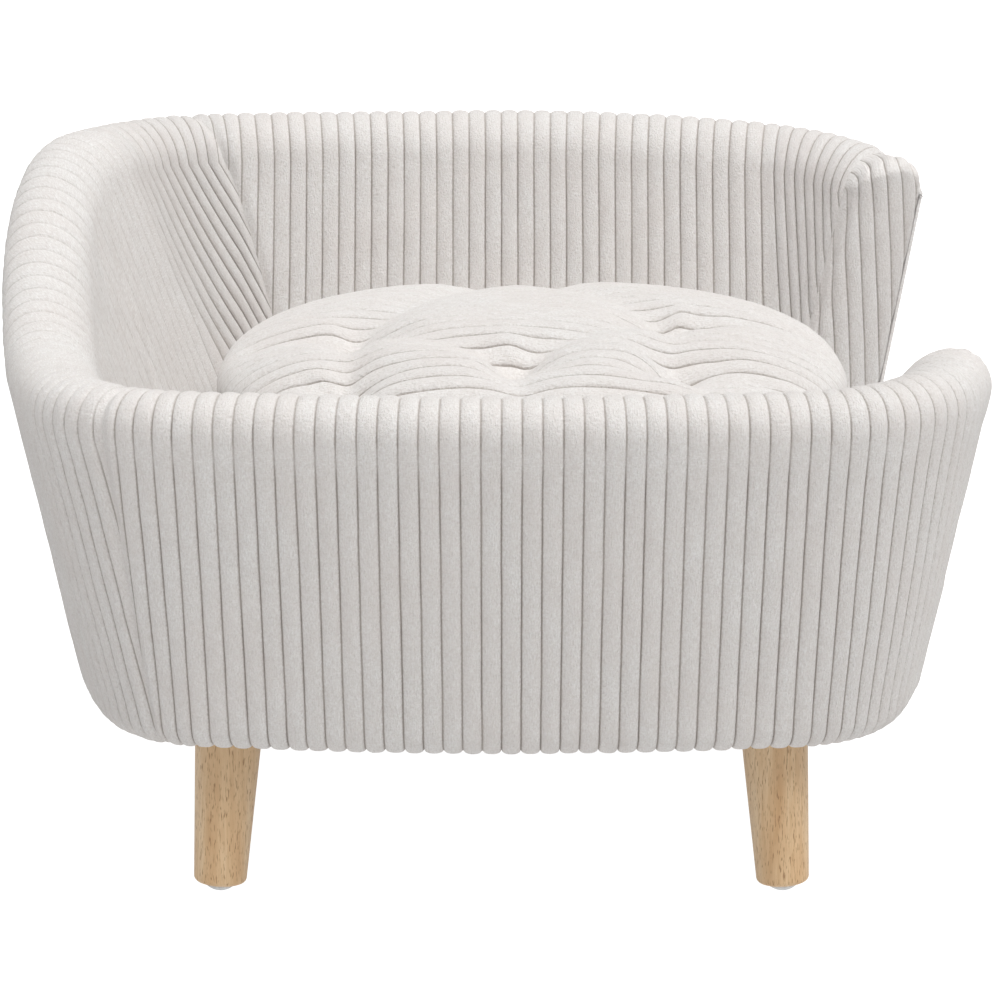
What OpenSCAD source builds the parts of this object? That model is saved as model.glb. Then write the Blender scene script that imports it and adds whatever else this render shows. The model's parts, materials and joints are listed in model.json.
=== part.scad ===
// Upholstered tub-shaped dog bed on four turned wooden legs.
// A flared, padded wall runs round a rounded-square base: tall at the back,
// sweeping down over the left arm to a low front, with a walk-in gap on the right.
// A tufted oval cushion lies loose in the nest and lifts straight out.
// Millimetres, +Z up, origin on the floor under the middle of the overall outline; -Y is the front.

/* [Body] */
// Width of the body along its bottom edge
body_w = 502; // [440:2:600]
// Depth of the body along its bottom edge
body_d = 394; // [340:2:470]
// Plan radius of the four rounded corners
corner_r = 73; // [66:1:84]
// How far the front and back bow outward
bow_long = 13.8; // [9:0.2:18]
// How far the two sides bow outward
bow_side = 18.8; // [12:0.2:22]
// Radius of the soft bottom edge
bottom_edge_r = 15; // [12:1:20]

/* [Wall] */
// Height of the tall back rim above the floor
back_h = 401; // [370:1:440]
// Height of the low front rim above the floor
front_h = 311; // [290:1:335]
// Thickness of the padded wall at its rounded rim
wall_t = 54; // [50:1:60]
// Outward lean of the side walls, degrees
flare_side = 11.7; // [8:0.1:14]
// Outward lean of the back wall, degrees
flare_back = 13.4; // [10:0.1:15]
// Outward lean of the front wall, degrees
flare_front = 14.1; // [10:0.1:16]
// Extra wall thickness for each millimetre below the rim
wall_growth = 0.14; // [0.08:0.01:0.16]

/* [Entrance] */
// Distance round the wall from the middle of the right side to the back wall's end
back_end = 152; // [142:1:162]
// Distance round the wall from the middle of the right side to the front wall's end
front_end = 88; // [75:1:100]
// How much the back rim falls towards its open end
end_drop = 12; // [6:1:16]
// How much more it falls over the last stretch
end_dip = 7; // [3:1:8]
// Height of the padded deck, and of the threshold in the entrance
deck_h = 190; // [180:1:200]

/* [Left arm] */
// Where the rim starts to fall, as a share of a quarter turn past the middle of the back
slope_start = 0.67; // [0.6:0.01:0.75]
// Where the rim has reached the front height, in the same measure
slope_end = 1.23; // [1.15:0.01:1.35]

/* [Legs] */
// Height of the underside of the body above the floor
leg_h = 98; // [85:1:110]
// Leg diameter at the top
leg_top_d = 39.5; // [36:0.5:42]
// Leg diameter at the foot
leg_foot_d = 30.5; // [26:0.5:34]
// Outward splay of the legs in both directions, degrees
leg_splay = 4; // [2:0.5:5]
// Distance of a foot's centre from the side of the body
foot_inset_x = 88; // [84:1:100]
// Distance of a foot's centre from the front or back of the body
foot_inset_y = 62; // [60:1:72]

/* [Cushion] */
// Clearance between the cushion's edge and the back wall
cushion_gap = 4; // [3:0.5:8]
// Width of the loose cushion
cushion_w = 374; // [340:1:380]
// Thickness of the cushion at its crown
cushion_t = 124; // [110:1:130]

/* [Layers] */
// Thickness of the deep-pile corduroy cover
cloth_t = 4; // [3:0.2:4.6]
// Thickness of the outer foam sheet
sheet_t = 7; // [6:0.5:8]
// Depth of the wall posts
post_t = 17; // [15:0.5:18]
// Thickness of the bent plywood panels
panel_t = 4; // [3:0.5:5]
// Thickness of the base board
board_t = 12; // [10:0.5:15]

/* [Hidden] */

$fn = 48;
gap = 0.3;                       // between soft layers that lie on one another
eps = 1;                         // how far a cutting shape runs past what it cuts
half_w = body_w / 2;
half_d = body_d / 2;
board_z = leg_h + cloth_t + 1;   // underside of the base board, clear of the curving lap
board_top = board_z + board_t;
post_off = cloth_t + sheet_t + 2 * gap;   // outer face of the posts, inward from the cover
panel_off = post_off + post_t;            // outer face of the bent panels
pad_off = panel_off + panel_t;            // outer face of the inner foam
rim_r = wall_t / 2;
strip_t = 4;                     // flat strip that caps the posts and the panel
strip_drop = 24;                 // top of that strip below the rim
lap_w = 25;                      // how far the cover turns in under the board
tuck = 30;                       // how far it is tucked down beside the seat foam
end_pad_t = 16;                  // foam on the two open ends of the wall

// ---- plan of the body: one quarter is a side arc, a corner arc and a long arc ----
side_r = (pow(half_d - corner_r, 2) + pow(bow_side, 2)) / (2 * bow_side);
long_r = (pow(half_w - corner_r, 2) + pow(bow_long, 2)) / (2 * bow_long);
side_c = [half_w - side_r, 0];
long_c = [0, half_d - long_r];
corner_c = outer_crossing(long_c, long_r - corner_r, side_c, side_r - corner_r);
side_a = atan2(corner_c.y - side_c.y, corner_c.x - side_c.x);
long_a = atan2(corner_c.y - long_c.y, corner_c.x - long_c.x);
side_len = side_r * side_a * PI / 180;
corner_len = corner_r * (long_a - side_a) * PI / 180;
long_len = long_r * (90 - long_a) * PI / 180;
quarter = side_len + corner_len + long_len;

// crossing of two circles that lies farther from the middle
function outer_crossing(p, rp, q, rq) =
    let (d = norm(q - p), u = (q - p) / d, k = (rp * rp - rq * rq + d * d) / (2 * d))
    p + k * u + sqrt(rp * rp - k * k) * [u.y, -u.x];

// direction of the outward normal after walking u along one quarter
function quarter_angle(u) =
    u < side_len ? u / side_len * side_a
    : u < side_len + corner_len ? side_a + (u - side_len) / corner_len * (long_a - side_a)
    : long_a + (u - side_len - corner_len) / long_len * (90 - long_a);

// the same for the whole plan: s starts in the middle of the right side and runs by the back
function wall_angle(s) =
    let (k = floor(s / quarter) % 4, u = s - floor(s / quarter) * quarter)
    k == 0 ? quarter_angle(u)
    : k == 1 ? 180 - quarter_angle(quarter - u)
    : k == 2 ? 180 + quarter_angle(u)
    : 360 - quarter_angle(quarter - u);

function quarter_point(a) =
    a <= side_a ? side_c + side_r * [cos(a), sin(a)]
    : a <= long_a ? corner_c + corner_r * [cos(a), sin(a)]
    : long_c + long_r * [cos(a), sin(a)];

function plan_point(a) =
    let (q = a <= 90 ? a : a <= 180 ? 180 - a : a <= 270 ? a - 180 : 360 - a,
         p = quarter_point(q))
    [a <= 90 || a >= 270 ? p.x : -p.x, a <= 180 ? p.y : -p.y];

function flare(a) =
    flare_side * pow(cos(a), 2) + (sin(a) > 0 ? flare_back : flare_front) * pow(sin(a), 2);

// a point of the wall: s round the plan, off outward from the bottom edge, height z
function wall_point(s, off, z) =
    let (a = wall_angle(s), p = plan_point(a), g = off + (z - leg_h) * tan(flare(a)))
    [p.x + g * cos(a), p.y + g * sin(a), z];

// ---- stretches of the wall ----
back_from = back_end;
seam_share = 0.68;               // the left arm's seams, as a share of the corners' arcs
arm_half = side_len + seam_share * corner_len;
left_from = 2 * quarter - arm_half;
front_from = 2 * quarter + arm_half;
front_to = 4 * quarter - front_end;
sill_to = 4 * quarter + back_end;
step_len = 12;                   // spacing of the sections, the same for all that lies on one another

function stops(from, to) = concat(
    [from],
    [for (k = [ceil((from + 1) / step_len) : 1 : floor((to - 1) / step_len)]) k * step_len],
    [to]);

function ease(x) = let (c = min(1, max(0, x))) c * c * (3 - 2 * c);

// height of the rim along the wall, carried on across the entrance
end_h = back_h - end_drop - end_dip;
function rim_z(s) =
    let (u = s / quarter)
    s > front_to ? front_h + (end_h - front_h) * (s - front_to) / (sill_to - front_to)
    : u < 1 ? back_h - end_drop * pow((quarter - s) / (quarter - back_end), 2)
        - end_dip * pow(min(1, max(0, (back_end + 83 - s) / 70)), 2)
    : back_h + (front_h - back_h) * ease((u - 1 - slope_start) / (slope_end - slope_start));

// wall thickness at a height, constant below the deck
function wall_depth(s, z) = wall_t + max(0, rim_z(s) - rim_r - max(z, deck_h)) * wall_growth;

function arc(c, r, from, to, n) =
    [for (i = [0 : n]) c + r * [cos(from + (to - from) * i / n), sin(from + (to - from) * i / n)]];

// outline of the wall's skin, moved in by inset: bottom lap, outer face, rim, inner face
function bottom_edge(inset) =
    arc([-bottom_edge_r, leg_h + bottom_edge_r], bottom_edge_r - inset, -90, 0, 3);
function rim_edge(s, inset) = arc([-rim_r, rim_z(s) - rim_r], rim_r - inset, 0, 180, 8);
function skin(s, inset) = concat(
    [[-lap_w, leg_h + inset]],
    bottom_edge(inset),
    rim_edge(s, inset),
    [for (z = [deck_h, deck_h - tuck]) [inset - wall_depth(s, deck_h), z]]);

// middle of the overall outline, which the flare and the entrance put off the body's own middle
rim_reach = [for (s = stops(back_from, front_to)) wall_point(s, 0, rim_z(s) - rim_r)];
function middle_of(values) = (max(values) + min(values)) / 2;
outline_middle = [middle_of([for (p = rim_reach) p.x]), middle_of([for (p = rim_reach) p.y])];

function reversed(list) = [for (i = [len(list) - 1 : -1 : 0]) list[i]];

// ---- solids ----
module centred() {
    translate([-outline_middle.x, -outline_middle.y, 0]) children();
}
// a ring made of two paths of equal length closes in strips between them, any other as one face
function two_path_cap(n) =
    [for (j = [0 : n / 2 - 2]) each [[j, j + 1, n - 2 - j], [j, n - 2 - j, n - 1 - j]]];
function one_face_cap(n) = [[for (j = [0 : n - 1]) j]];

// solid through a row of rings of equal length, each anticlockwise when seen along the row
module loft(rings, cap) {
    n = len(rings[0]);
    last = (len(rings) - 1) * n;
    sides = [for (i = [0 : len(rings) - 2], j = [0 : n - 1])
        let (a = i * n + j, b = i * n + (j + 1) % n)
        each [[a, b, a + n], [b, b + n, a + n]]];
    polyhedron(
        points = [for (ring = rings) each ring],
        faces = concat(
            [for (face = cap) reversed(face)],
            sides,
            [for (face = cap) [for (j = face) last + j]]));
}

// section(s) gives two paths [offset, height], the outer one first, both from the bottom
// outside towards the top or the inside
module sweep(from, to, section) {
    rings = [for (s = stops(from, to))
        let (paths = section(s))
        [for (p = concat(paths[0], reversed(paths[1]))) wall_point(s, p[0], p[1])]];
    loft(rings, two_path_cap(len(rings[0])));
}

// solid between two heights whose outline keeps the offset off(s) from the wall's outer face
module floor_slab(z0, z1, off) {
    around = stops(0, 4 * quarter);
    walk = [for (i = [len(around) - 2 : -1 : 0]) around[i]];
    loft([for (z = [z0, z1]) [for (s = walk) wall_point(s, off(s), z)]], one_face_cap(len(walk)));
}

// flat plate with the plan outline moved by off, sides upright
module plan_plate(z, t, off) {
    translate([0, 0, z]) linear_extrude(t)
        polygon([for (i = [0 : 119]) let (a = 3 * i) plan_point(a) + off * [cos(a), sin(a)]]);
}

// ---- sections ----
cover_section = function(s) [skin(s, 0), skin(s, cloth_t)];

// upright board of the frame between two offsets and two heights
function upright(off_out, off_in, z0, z1) = [[[off_out, z0], [off_out, z1]], [[off_in, z0], [off_in, z1]]];
panel_section = function(s)
    upright(-panel_off, -pad_off, board_top, rim_z(s) - strip_drop - strip_t);
strip_section = function(s)
    upright(-post_off, -pad_off, rim_z(s) - strip_drop - strip_t, rim_z(s) - strip_drop);

foam_skin = cloth_t + 2.5 * gap; // outer face of all foam, inward from the cover
foam_back = post_off - gap;      // inner face of the outer foam sheet
low_edge = [for (p = bottom_edge(foam_skin)) if (p[0] > 1 - foam_back && p[1] < board_top - 0.5) p];
function moved_in(path, off) = [for (p = path) [off, p[1]]];

outer_foam_section = function(s)
    let (path = concat(low_edge, [[-foam_skin, board_top], [-foam_skin, rim_z(s) - rim_r]]))
    [path, moved_in(path, -foam_back)];

rim_section = function(s)
    let (z0 = rim_z(s) - rim_r + gap, z1 = rim_z(s) - strip_drop + gap,
         x0 = -foam_back, x1 = -pad_off - gap,
         top = [for (p = rim_edge(s, foam_skin)) [p[0], p[1] + gap]])
    [top, concat([[x0, z0]], [for (i = [0 : 6]) [x0 + (x1 - x0) * i / 6, z1]], [[x1, z0]])];

function pad_face(s) = foam_skin - wall_depth(s, deck_h);
inner_foam_section = function(s)
    let (top = rim_z(s) - rim_r, path = [[-pad_off - gap, board_top], [-pad_off - gap, deck_h],
                                         [-pad_off - gap, top]])
    [path, [[pad_face(s), board_top], [pad_face(s), deck_h], [foam_skin - wall_t, top]]];

// the whole stuffed cross-section above the board, for the two open ends of the wall
function end_section(s, inset) =
    let (z = rim_z(s) - rim_r, r = rim_r - inset, in = inset - wall_depth(s, deck_h))
    [concat(low_edge, [[-inset, board_top], [-inset, board_top + 1], [-inset, deck_h]],
            arc([-rim_r, z], r, 0, 80, 4)),
     concat(moved_in(low_edge, -foam_back), [[-foam_back, board_top], [in, board_top], [in, deck_h]],
            arc([-rim_r, z], r, 180, 100, 4))];
end_foam_section = function(s) end_section(s, foam_skin);
end_cover_section = function(s) end_section(s, 0);

sill_edge_r = 20;
sill_rail_h = 44;
function sill_top(inset) =
    arc([-sill_edge_r, deck_h - sill_edge_r], sill_edge_r - inset, 0, 90, 4);
function sill_skin(s, inset) = concat(
    [[-lap_w, leg_h + inset]],
    bottom_edge(inset),
    sill_top(inset),
    [[-wall_depth(s, deck_h), deck_h - inset]]);
sill_cover_section = function(s) [sill_skin(s, 0), sill_skin(s, cloth_t)];
sill_rail_section = function(s) upright(-post_off, -panel_off, board_top, board_top + sill_rail_h);
sill_foam_section = function(s)
    let (x0 = -foam_back, x1 = -panel_off - gap, z1 = board_top + sill_rail_h + gap)
    [concat(low_edge, [[-foam_skin, board_top]], sill_top(foam_skin),
            [[pad_face(s), deck_h - foam_skin], [pad_face(s), board_top]]),
     concat(moved_in(low_edge, x0), [[x0, board_top]],
            [for (i = [0 : 4]) [x0 + (x1 - x0) * i / 5, z1]], [[x1, z1], [x1, board_top]])];

// ---- wooden frame ----
post_w = 18;
post_end_in = end_pad_t + post_w / 2 + 9;    // first and last post in from the open ends
back_post_at = spaced(back_from + post_end_in, left_from - 45, 5);
left_post_at = spaced(left_from + 45, front_from - 45, 3);
front_post_at = spaced(front_from + 45, front_to - post_end_in, 5);
all_posts_at = concat(back_post_at, left_post_at, front_post_at);
post_play = 0.8;                 // flat posts between curved layers
post_screw_l = 30;
post_screw_d = 4;

function spaced(from, to, n) = [for (i = [0 : n - 1]) from + (to - from) * i / (n - 1)];

// places children at post s: X outward along the normal, origin at the post's outer foot
module at_post(s) {
    a = wall_angle(s);
    translate(wall_point(s, -post_off, board_top)) rotate([0, 0, a]) children();
}

// lowest strip height over the post's width, so that its square top never enters the strip
function post_top(s) =
    min([for (d = [-1, 0, 1]) rim_z(s + d * post_w / 2)]) - strip_drop - strip_t - board_top;

module post(s) {
    lean = flare(wall_angle(s));
    at_post(s) difference() {
        rotate([0, lean, 0])
            translate([-(post_t - post_play) * cos(lean), -post_w / 2, -20])
            cube([(post_t - 2 * post_play) * cos(lean), post_w, 20 + post_top(s) / cos(lean) - 4]);
        translate([-60, -post_w, -40]) cube([120, 2 * post_w, 40]);
        translate([-post_t / 2, 0, -eps])
            cylinder(d = post_screw_d, h = post_screw_l - board_t + 0.4 + eps);
    }
}

module posts(list) {
    color("burlywood") centred() for (s = list) post(s);
}
module back_posts() { posts(back_post_at); }
module left_posts() { posts(left_post_at); }
module front_posts() { posts(front_post_at); }

// countersunk wood screw, head down, its head flush with z = 0
module wood_screw(d, l) {
    cylinder(d1 = 2 * d, d2 = d, h = d / 2);
    cylinder(d = d, h = l);
}
module post_screw_row() {
    for (s = all_posts_at)
        at_post(s) translate([-post_t / 2, 0, 0.2 - board_t]) wood_screw(post_screw_d, post_screw_l);
}
module post_screws() {
    color("silver") centred() post_screw_row();
}

module base_board() {
    color("wheat") centred() difference() {
        plan_plate(board_z, board_t, -post_off);
        post_screw_row();
        each_leg() translate([0, 0, board_z - eps]) cylinder(d = nut_hole_d, h = board_t + 2 * eps);
        leg_screw_set();
        staple_set();
    }
}

module sill_rail() {
    color("burlywood") centred() sweep(front_to + gap, sill_to - gap, sill_rail_section);
}

module back_panel() { color("tan") centred() sweep(back_from + end_pad_t, left_from, panel_section); }
module left_panel() { color("tan") centred() sweep(left_from, front_from, panel_section); }
module front_panel() { color("tan") centred() sweep(front_from, front_to - end_pad_t, panel_section); }

module back_top_strip() { color("peru") centred() sweep(back_from + end_pad_t, left_from, strip_section); }
module left_top_strip() { color("peru") centred() sweep(left_from, front_from, strip_section); }
module front_top_strip() { color("peru") centred() sweep(front_from, front_to - end_pad_t, strip_section); }

// ---- foam ----
module back_outer_foam() { color("khaki") centred() sweep(back_from + end_pad_t, left_from, outer_foam_section); }
module left_outer_foam() { color("khaki") centred() sweep(left_from, front_from, outer_foam_section); }
module front_outer_foam() { color("khaki") centred() sweep(front_from, front_to - end_pad_t, outer_foam_section); }

module back_rim_roll() { color("lemonchiffon") centred() sweep(back_from + end_pad_t, left_from, rim_section); }
module left_rim_roll() { color("lemonchiffon") centred() sweep(left_from, front_from, rim_section); }
module front_rim_roll() { color("lemonchiffon") centred() sweep(front_from, front_to - end_pad_t, rim_section); }

module back_inner_foam() { color("khaki") centred() sweep(back_from + end_pad_t, left_from, inner_foam_section); }
module left_inner_foam() { color("khaki") centred() sweep(left_from, front_from, inner_foam_section); }
module front_inner_foam() { color("khaki") centred() sweep(front_from, front_to - end_pad_t, inner_foam_section); }

module back_end_foam() {
    color("lemonchiffon") centred() sweep(back_from + foam_skin, back_from + end_pad_t - gap, end_foam_section);
}
module front_end_foam() {
    color("lemonchiffon") centred() sweep(front_to - end_pad_t + gap, front_to - foam_skin, end_foam_section);
}
module sill_foam() {
    color("khaki") centred() sweep(front_to + foam_skin, sill_to - foam_skin, sill_foam_section);
}

seat_edge = function(s) -wall_depth(s, deck_h) - 1;
deck_cloth_t = 2;
module seat_foam() {
    color("khaki") centred() floor_slab(board_top, deck_h - deck_cloth_t - gap, seat_edge);
}
module deck_cloth() {
    color("whitesmoke") centred() floor_slab(deck_h - deck_cloth_t, deck_h, seat_edge);
}

// ---- corduroy covers ----
module back_cover() { color("linen") centred() sweep(back_from + cloth_t, left_from, cover_section); }
module left_cover() { color("linen") centred() sweep(left_from, front_from, cover_section); }
module front_cover() { color("linen") centred() sweep(front_from, front_to - cloth_t, cover_section); }
module back_end_cover() { color("linen") centred() sweep(back_from, back_from + cloth_t, end_cover_section); }
module front_end_cover() { color("linen") centred() sweep(front_to - cloth_t, front_to, end_cover_section); }
module sill_cover() { color("linen") centred() sweep(front_to, sill_to, sill_cover_section); }

// ---- underside ----
dust_t = 1.2;
dust_off = -lap_w - 1;
staple_w = 10;
staple_wire = 1;
staple_leg = 8;
staples_n = 28;

module dust_cover() {
    color("dimgray") centred() difference() {
        plan_plate(board_z - dust_t, dust_t, dust_off);
        each_leg() translate([0, 0, board_z]) plate_outline(plate_t + 2, 1);
        staple_set();
        post_screw_row();
    }
}

module staple() {
    translate([-staple_w / 2, -staple_wire / 2, board_z - dust_t - staple_wire])
        cube([staple_w, staple_wire, staple_wire]);
    for (x = [-1, 1])
        translate([x * (staple_w - staple_wire) / 2 - staple_wire / 2, -staple_wire / 2,
                   board_z - dust_t - staple_wire])
            cube([staple_wire, staple_wire, dust_t + staple_wire + staple_leg]);
}
module staple_set() {
    for (i = [0 : staples_n - 1])
        let (s = 4 * quarter * (i + 0.5) / staples_n, a = wall_angle(s), p = plan_point(a),
             at = p + (dust_off - 6) * [cos(a), sin(a)])
        if (max(abs(abs(at.x) - plate_x), abs(abs(at.y) - plate_y)) > plate_w / 2 + staple_w)
            translate([at.x, at.y, 0]) rotate([0, 0, a + 90]) staple();
}
module dust_cover_staples() {
    color("silver") centred() staple_set();
}

// ---- legs ----
foot_x = half_w - foot_inset_x;
foot_y = half_d - foot_inset_y;
plate_x = foot_x - leg_h * tan(leg_splay);
plate_y = foot_y - leg_h * tan(leg_splay);
glide_h = 5;
glide_r = 8.5;                   // radius of the glide's rim
glide_ball_r = 12;               // radius of its domed face
glide_flat = 0.4;                // how much of the dome is cut off flat to rest on
plate_w = 46;
plate_t = 2.5;
nut_hole_d = 20;
nut_d = 14;
nut_h = 8;
bolt_d = 8;
bolt_into_leg = 38;
plate_screw_d = 3.5;
plate_screw_in = 16;
leg_axis_l = leg_h / cos(leg_splay) / cos(leg_splay);

// children stand on the floor at a foot, +Z along the leg's own axis
module leg_axis(sx, sy) {
    translate([sx * foot_x, sy * foot_y, 0])
        rotate([sy * leg_splay, -sx * leg_splay, 0]) children();
}
// children stand upright over the point where a leg's axis meets the underside of the board
module at_plate(sx, sy) {
    translate([sx * plate_x, sy * plate_y, 0]) children();
}
module each_leg() {
    for (sx = [-1, 1], sy = [-1, 1]) at_plate(sx, sy) children();
}

module leg(sx, sy) {
    round_r = 3;
    color("burlywood") centred() difference() {
        leg_axis(sx, sy) difference() {
            rotate_extrude($fn = 96) polygon(concat(
                [[0, glide_h]],
                arc([leg_foot_d / 2 - round_r, glide_h + round_r], round_r, -90, 0, 6),
                [[leg_top_d / 2, leg_h + 6], [0, leg_h + 6]]));
            translate([0, 0, leg_axis_l - bolt_into_leg]) cylinder(d = bolt_d, h = 60);
            translate([0, 0, glide_h - eps]) cylinder(d = nail_d, h = nail_l + eps);
        }
        translate([sx * foot_x - 60, sy * foot_y - 60, board_z - plate_t]) cube([120, 120, 60]);
    }
}
module leg_front_left() { leg(-1, -1); }
module leg_front_right() { leg(1, -1); }
module leg_rear_left() { leg(-1, 1); }
module leg_rear_right() { leg(1, 1); }

// square with rounded corners, hanging down by t from z = 0
module plate_outline(t, grow) {
    r = 6;
    w = plate_w + 2 * grow;
    translate([0, 0, -t]) {
        translate([-w / 2 + r, -w / 2, 0]) cube([w - 2 * r, w, t]);
        translate([-w / 2, -w / 2 + r, 0]) cube([w, w - 2 * r, t]);
        for (x = [-1, 1], y = [-1, 1])
            translate([x * (w / 2 - r), y * (w / 2 - r), 0]) cylinder(r = r, h = t);
    }
}
module leg_screw_set() {
    each_leg() for (x = [-1, 1], y = [-1, 1])
        translate([x * plate_screw_in, y * plate_screw_in, board_z - plate_t])
            wood_screw(plate_screw_d, 12);
}
// bolt and nut axes follow the splay of each leg
module along_leg(from, to, d) {
    for (sx = [-1, 1], sy = [-1, 1])
        leg_axis(sx, sy) translate([0, 0, from]) cylinder(d = d, h = to - from);
}
module leg_plates() {
    color("silver") centred() difference() {
        union() {
            each_leg() translate([0, 0, board_z]) plate_outline(plate_t, 0);
            each_leg() translate([0, 0, board_z - 0.5]) cylinder(d = nut_d, h = nut_h + 0.5);
        }
        along_leg(60, leg_h + 30, bolt_d);
        leg_screw_set();
    }
}
module leg_plate_screws() {
    color("gainsboro") centred() leg_screw_set();
}
module leg_hanger_bolts() {
    color("silver") centred() along_leg(leg_axis_l - bolt_into_leg, leg_axis_l + 9, bolt_d);
}

nail_d = 2;
nail_l = 16;
module leg_glides() {
    color("lightgray") centred() for (sx = [-1, 1], sy = [-1, 1]) difference() {
        leg_axis(sx, sy) difference() {
            translate([0, 0, -glide_flat]) intersection() {
                cylinder(r = glide_r, h = glide_h + glide_flat);
                translate([0, 0, glide_ball_r]) sphere(r = glide_ball_r, $fn = 96);
            }
            translate([0, 0, 2]) cylinder(d = nail_d, h = glide_h);
        }
        translate([sx * foot_x - 20, sy * foot_y - 20, -20]) cube([40, 40, 20]);
    }
}
module glide_nails() {
    color("gray") centred() for (sx = [-1, 1], sy = [-1, 1]) leg_axis(sx, sy)
        translate([0, 0, 2]) cylinder(d = nail_d, h = nail_l + glide_h - 2);
}

// ---- cushion ----
cushion_z = deck_h + 0.5;
inner_back_y = half_d + (deck_h + 86 - leg_h) * tan(flare_back)
    - wall_t - (back_h - rim_r - deck_h - 86) * wall_growth;
cushion_rear = inner_back_y - cushion_gap;
cushion_front = cushion_rear - 6;
cushion_half_d = (cushion_rear + cushion_front) / 2;
cushion_y = (cushion_rear - cushion_front) / 2;
cushion_x = half_w + (deck_h - leg_h) * tan(flare_side) - wall_t - cushion_w / 2 - 11;
cushion_seam_z = cushion_z + 0.72 * cushion_t;
plan_power = 2.5;                // 2 is an ellipse, more is squarer
cushion_sides = 48;

function signed_pow(v, e) = sign(v) * pow(abs(v), e);
// one level of the cushion: height, and how far its edge is drawn in
function cushion_ring(z, inset) = [for (i = [0 : cushion_sides - 1])
    let (a = 360 - 360 * i / cushion_sides)
    [cushion_x + (cushion_w / 2 - inset) * signed_pow(cos(a), 2 / plan_power),
     cushion_y + (cushion_half_d - inset) * signed_pow(sin(a), 2 / plan_power), z]];

// levels as share of the thickness and how far the edge is drawn in, leaning with the wall
cushion_levels = [[0, 39], [0.05, 30], [0.3, 19], [0.53, 9.5], [0.70, 2.5], [0.78, 0],
                  [0.87, 5], [0.94, 17], [0.985, 42], [1, 95]];

module cushion_form(shrink) {
    loft([for (l = cushion_levels)
        cushion_ring(cushion_z + shrink + l[0] * (cushion_t - 2 * shrink), l[1] + shrink)],
        one_face_cap(cushion_sides));
}

tuft_xy = [[-88, -35], [8, 128], [9, -95], [100, -10], [100, -100]];
tie_d = 2;
module tie_set() {
    for (p = tuft_xy)
        translate([p.x, p.y, cushion_z]) cylinder(d = tie_d, h = cushion_t - 6);
}
module cushion_core() {
    color("white") centred() difference() {
        cushion_form(cloth_t + gap);
        tie_set();
    }
}
module cushion_skin() {
    difference() {
        cushion_form(0);
        cushion_form(cloth_t);
        tie_set();
    }
}
module cushion_top_panel() {
    color("linen") centred() intersection() {
        cushion_skin();
        translate([-500, -500, cushion_seam_z]) cube([1000, 1000, 200]);
    }
}
module cushion_bottom_panel() {
    color("linen") centred() difference() {
        cushion_skin();
        translate([-500, -500, cushion_seam_z]) cube([1000, 1000, 200]);
    }
}
module cushion_tuft_ties() {
    color("white") centred() tie_set();
}

base_board();
sill_rail();
back_posts();
left_posts();
front_posts();
post_screws();
back_panel();
left_panel();
front_panel();
back_top_strip();
left_top_strip();
front_top_strip();
back_outer_foam();
left_outer_foam();
front_outer_foam();
back_rim_roll();
left_rim_roll();
front_rim_roll();
back_inner_foam();
left_inner_foam();
front_inner_foam();
back_end_foam();
front_end_foam();
sill_foam();
seat_foam();
deck_cloth();
back_cover();
left_cover();
front_cover();
back_end_cover();
front_end_cover();
sill_cover();
dust_cover();
dust_cover_staples();
leg_front_left();
leg_front_right();
leg_rear_left();
leg_rear_right();
leg_plates();
leg_plate_screws();
leg_hanger_bolts();
leg_glides();
glide_nails();
cushion_core();
cushion_top_panel();
cushion_bottom_panel();
cushion_tuft_ties();
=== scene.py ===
import json

import bpy
import numpy as np
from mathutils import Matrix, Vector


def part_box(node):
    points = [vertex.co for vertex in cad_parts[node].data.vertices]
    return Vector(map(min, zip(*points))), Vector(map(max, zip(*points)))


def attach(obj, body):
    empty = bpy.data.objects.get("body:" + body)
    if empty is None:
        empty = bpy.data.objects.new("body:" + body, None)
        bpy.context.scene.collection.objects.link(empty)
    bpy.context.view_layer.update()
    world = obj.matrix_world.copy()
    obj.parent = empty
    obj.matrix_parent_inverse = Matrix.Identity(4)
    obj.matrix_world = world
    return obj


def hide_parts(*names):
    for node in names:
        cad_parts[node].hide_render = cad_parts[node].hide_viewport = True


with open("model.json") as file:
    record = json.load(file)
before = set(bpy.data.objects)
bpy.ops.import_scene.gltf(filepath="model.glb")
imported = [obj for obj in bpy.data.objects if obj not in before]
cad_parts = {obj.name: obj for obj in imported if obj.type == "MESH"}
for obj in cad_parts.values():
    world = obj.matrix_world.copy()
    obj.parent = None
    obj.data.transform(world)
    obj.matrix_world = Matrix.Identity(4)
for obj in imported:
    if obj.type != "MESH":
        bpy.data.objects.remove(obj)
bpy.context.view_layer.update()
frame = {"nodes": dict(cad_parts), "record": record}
scene = bpy.context.scene

# ---- the body's plan and wall, in millimetres, as the wooden frame has them ----
BODY_W, BODY_D, CORNER_R, BOW_LONG, BOW_SIDE = 502, 394, 73, 13.8, 18.8
LEG_H, DECK_H, BACK_H, FRONT_H = 98, 190, 401, 311
BOTTOM_R, RIM_R, SILL_R, LAP, TUCK = 15, 27, 20, 25, 30
FLARE_SIDE, FLARE_BACK, FLARE_FRONT = np.radians([11.7, 13.4, 14.1])
WALL_T, WALL_GROWTH = 54, 0.14
BACK_END, FRONT_END, END_DROP, END_DIP, END_PAD = 152, 88, 12, 7, 16
SLOPE_START, SLOPE_END, SEAM_SHARE = 1.67, 2.23, 0.68
PITCH = 11.0          # from one wale of the corduroy to the next
WALE_H = 3.0          # depth of the pile from crest to ground weave
MAX_SWELL = 9.0       # furthest that a point of the cushion moves when it is stuffed
SEAM_DEPTH = 3.4      # how far a seam is drawn in under the crests

low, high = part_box("base_board")
CENTRE = np.array([(low[0] + high[0]) / 2, (low[1] + high[1]) / 2, 0.0])


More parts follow.
